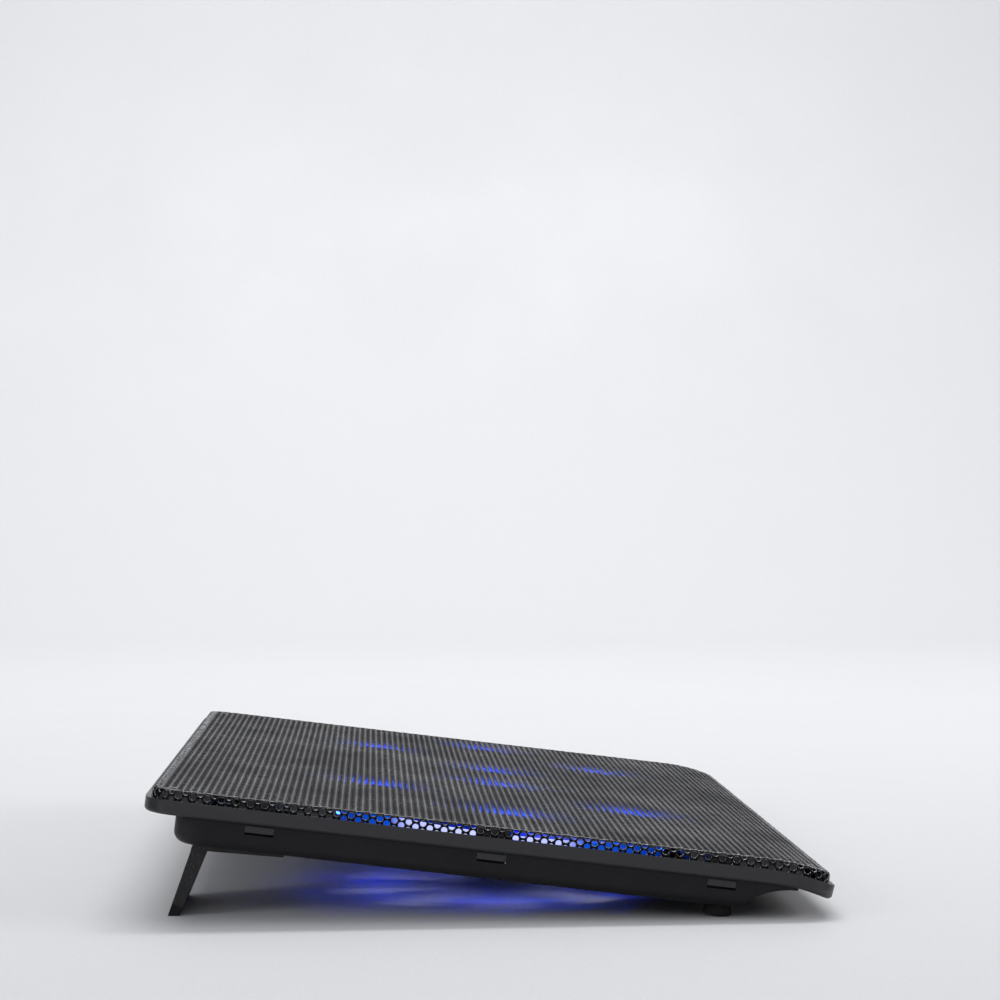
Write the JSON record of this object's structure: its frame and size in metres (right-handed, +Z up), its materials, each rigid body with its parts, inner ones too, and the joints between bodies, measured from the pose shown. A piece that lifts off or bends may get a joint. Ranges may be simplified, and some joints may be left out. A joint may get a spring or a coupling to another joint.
{
  "type": "laptop cooling pad",
  "caption": "Flat laptop cooling pad with a perforated steel deck over lit fans, a curved front lip and flip-out rear legs that raise the back.",
  "frame": {"origin": "on the floor, under the middle of the pad's box, with the rear legs open", "axes": "+X to the user's right, +Y to the rear, +Z up; the deck slopes down towards -Y at 6.9 degrees"},
  "size_m": [0.35, 0.2512, 0.0487],
  "materials": {
    "case_plastic": "fine spark-eroded texture, black",
    "frame_plastic": "fine satin moulded plastic, dark grey",
    "deck_steel": "black powder coat on perforated steel",
    "fan_plastic": "clear blue-tinted plastic, lit by the lights",
    "rotor_plastic": "clear blue-tinted plastic, lit by the lights",
    "magnet": "dark bonded ferrite",
    "polished_steel": "ground",
    "socket_steel": "bright nickel",
    "bronze": "sintered bronze",
    "board": "green lacquered circuit board",
    "core_steel": "stacked sheet steel",
    "copper": "enamelled copper wire",
    "led_lens": "clear blue epoxy",
    "lead_jacket": "smooth flexible jacket",
    "leg_plastic": "coarse textured plastic, black",
    "rubber": "soft matte rubber",
    "contact_brass": "gold plated",
    "moulded_black": "smooth moulded plastic",
    "screw_black": "black zinc"
  },
  "bodies": {
    "base": {"board_screws": "screw_black", "bottom_case": "case_plastic", "bracket_screws": "screw_black", "case_screws": "screw_black", "fan_bearing_left": "bronze", "fan_bearing_right": "bronze", "fan_board_left": "board", "fan_board_right": "board", "fan_core_left": "core_steel", "fan_core_right": "core_steel", "fan_frame_left": "fan_plastic", "fan_frame_right": "fan_plastic", "fan_lead_left": "lead_jacket", "fan_lead_right": "lead_jacket", "fan_leds_left": "led_lens", "fan_leds_right": "led_lens", "fan_screws": "screw_black", "fan_windings_left": "copper", "fan_windings_right": "copper", "front_foot_left": "rubber", "front_foot_right": "rubber", "leg_bracket_left": "leg_plastic", "leg_bracket_right": "leg_plastic", "leg_pin_left": "polished_steel", "leg_pin_right": "polished_steel", "mesh_hem": "deck_steel", "mesh_lip": "deck_steel", "mesh_panel": "deck_steel", "socket_board": "board", "socket_contacts_pass_through": "contact_brass", "socket_contacts_power_in": "contact_brass", "socket_shell_pass_through": "socket_steel", "socket_shell_power_in": "socket_steel", "socket_tongue_pass_through": "moulded_black", "socket_tongue_power_in": "moulded_black", "switch_body": "moulded_black", "top_frame": "frame_plastic"},
    "rotor_left": {"fan_rotor_left": "rotor_plastic", "fan_magnet_left": "magnet", "fan_shaft_left": "polished_steel"},
    "rotor_right": {"fan_rotor_right": "rotor_plastic", "fan_magnet_right": "magnet", "fan_shaft_right": "polished_steel"},
    "leg_left": {"leg_left": "leg_plastic", "leg_shoe_left": "rubber"},
    "leg_right": {"leg_right": "leg_plastic", "leg_shoe_right": "rubber"},
    "switch": {"switch_slider": "moulded_black"}
  },
  "joints": [
    {"name": "fan_left_spin", "type": "hinge", "parent": "base", "child": "rotor_left", "pos_m": [-0.078, -0.00746, 0.02145], "axis": [0, -0.1201, 0.9928], "continuous": true},
    {"name": "fan_right_spin", "type": "hinge", "parent": "base", "child": "rotor_right", "pos_m": [0.078, -0.00746, 0.02145], "axis": [0, -0.1201, 0.9928], "continuous": true},
    {"name": "leg_left_fold", "type": "hinge", "parent": "base", "child": "leg_left", "pos_m": [-0.13, 0.1058, 0.02614], "axis": [-1, 0, 0], "range_deg": [0, 104]},
    {"name": "leg_right_fold", "type": "hinge", "parent": "base", "child": "leg_right", "pos_m": [0.13, 0.1058, 0.02614], "axis": [-1, 0, 0], "range_deg": [0, 104]},
    {"name": "switch_slide", "type": "slide", "parent": "base", "child": "switch", "axis": [1, 0, 0], "range_m": [0, 0.002]}
  ]
}
